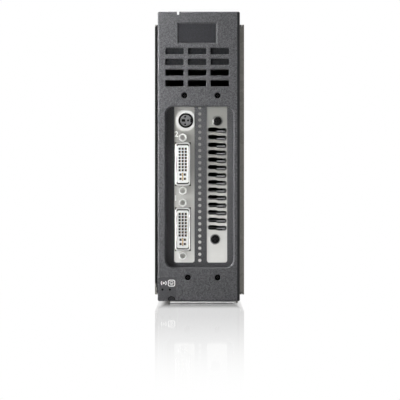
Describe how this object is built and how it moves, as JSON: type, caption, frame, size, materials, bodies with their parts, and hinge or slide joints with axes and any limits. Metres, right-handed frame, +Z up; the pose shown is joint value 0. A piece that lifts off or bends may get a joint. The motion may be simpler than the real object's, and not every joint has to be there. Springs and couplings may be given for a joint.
{
  "type": "graphics expansion blade",
  "caption": "Upright blade case for a server enclosure, holding a double-width graphics card whose video sockets and exhaust look out through a recess in its front bezel.",
  "frame": {"origin": "under the middle of the blade, on the surface its bottom runner stands on", "axes": "+X to the right seen from the front, +Y from the front bezel to the rear connectors, +Z up"},
  "size_m": [0.0556, 0.511, 0.1816],
  "materials": {
    "bezel_plastic": "fine speckled dark grey moulding",
    "dark_plate": "satin dark grey film",
    "clear_pipe": "clear moulding",
    "circuit_board": "solder mask over glass laminate",
    "panel_paint": "dark grey powder coat",
    "bracket_steel": "bright plated sheet",
    "fastener_steel": "zinc plated",
    "fastener_black": "black oxide",
    "socket_shell": "bright nickel plate",
    "socket_white": "white moulding",
    "socket_grey": "grey moulding",
    "chip_black": "moulded package",
    "can_metal": "drawn can",
    "heatsink_metal": "plain fins",
    "shroud_plastic": "black moulding",
    "connector_black": "black moulding",
    "clip_plastic": "pale moulding",
    "lead_sleeve": "black sleeve",
    "case_steel": "bare zinc coated sheet",
    "strip_black": "black paint",
    "tab_plastic": "pale moulding",
    "latch_plastic": "dark grey moulding"
  },
  "bodies": {
    "chassis": {"front_bezel": "bezel_plastic", "badge_plate": "dark_plate", "indicator_overlay": "dark_plate", "indicator_light_pipes": "clear_pipe", "indicator_board": "circuit_board", "graphics_board": "circuit_board", "riser_board": "circuit_board", "main_board": "circuit_board", "slot_panel": "panel_paint", "vent_baffle": "panel_paint", "card_bracket": "bracket_steel", "bezel_screws": "fastener_steel", "shroud_screws": "fastener_steel", "board_screws": "fastener_steel", "board_standoffs": "fastener_steel", "video_jackscrews": "fastener_steel", "panel_rivets": "fastener_steel", "exhaust_screws": "fastener_black", "bracket_screws": "fastener_black", "video_socket_upper_shell": "socket_shell", "video_socket_lower_shell": "socket_shell", "stereo_socket_shell": "socket_shell", "video_socket_upper_insert": "socket_white", "video_socket_lower_insert": "socket_white", "stereo_socket_insert": "socket_grey", "graphics_chip": "chip_black", "memory_chips": "chip_black", "bridge_chip": "chip_black", "power_modules": "chip_black", "power_chokes": "chip_black", "card_capacitors": "can_metal", "bulk_capacitors": "can_metal", "heatsink": "heatsink_metal", "bridge_heatsink": "heatsink_metal", "cooler_shroud": "shroud_plastic", "blower_motor": "shroud_plastic", "card_power_socket": "connector_black", "power_plugs": "connector_black", "board_power_header": "connector_black", "riser_header": "connector_black", "card_edge_slot": "connector_black", "signal_connector_upper": "connector_black", "signal_connector_lower": "connector_black", "power_connector": "connector_black", "auxiliary_power_lead": "lead_sleeve", "chassis_tray": "case_steel", "rear_panel": "case_steel", "top_rail": "case_steel", "bottom_runner": "case_steel", "guide_sockets": "case_steel", "edge_strip": "strip_black"},
    "cover": {"access_cover": "case_steel", "latch_dish": "latch_plastic", "latch_pin": "case_steel"},
    "latch": {"cover_latch": "latch_plastic"},
    "tab": {"pull_tab": "tab_plastic"},
    "button": {"press_button": "bezel_plastic"},
    "rotor": {"blower_rotor": "shroud_plastic"},
    "clip": {"slot_lock_clip": "clip_plastic"}
  },
  "joints": [
    {"name": "cover_slide", "type": "slide", "parent": "chassis", "child": "cover", "axis": [0, 1, 0], "range_m": [0, 0.012]},
    {"name": "cover_latch_swing", "type": "hinge", "parent": "cover", "child": "latch", "pos_m": [0.0245, -0.0574, 0.09], "axis": [0, 0, 1], "range_deg": [0, 60]},
    {"name": "tab_slide", "type": "slide", "parent": "chassis", "child": "tab", "axis": [0, -1, 0], "range_m": [0, 0.06]},
    {"name": "button_press", "type": "slide", "parent": "chassis", "child": "button", "axis": [0, 1, 0], "range_m": [0, 0.0012], "stiffness_N_per_m": 400, "springref_m": -0.002},
    {"name": "blower_spin", "type": "hinge", "parent": "chassis", "child": "rotor", "pos_m": [0, -0.03934, 0.0767], "axis": [1, 0, 0], "continuous": true},
    {"name": "clip_swing", "type": "hinge", "parent": "chassis", "child": "clip", "pos_m": [-0.01778, -0.09954, 0.0145], "axis": [-1, 0, 0], "range_deg": [0, 25]}
  ],
  "couplings": [
    {"joint": "cover_latch_swing", "follows": "cover_slide", "rad_per_m": 87.26}
  ]
}
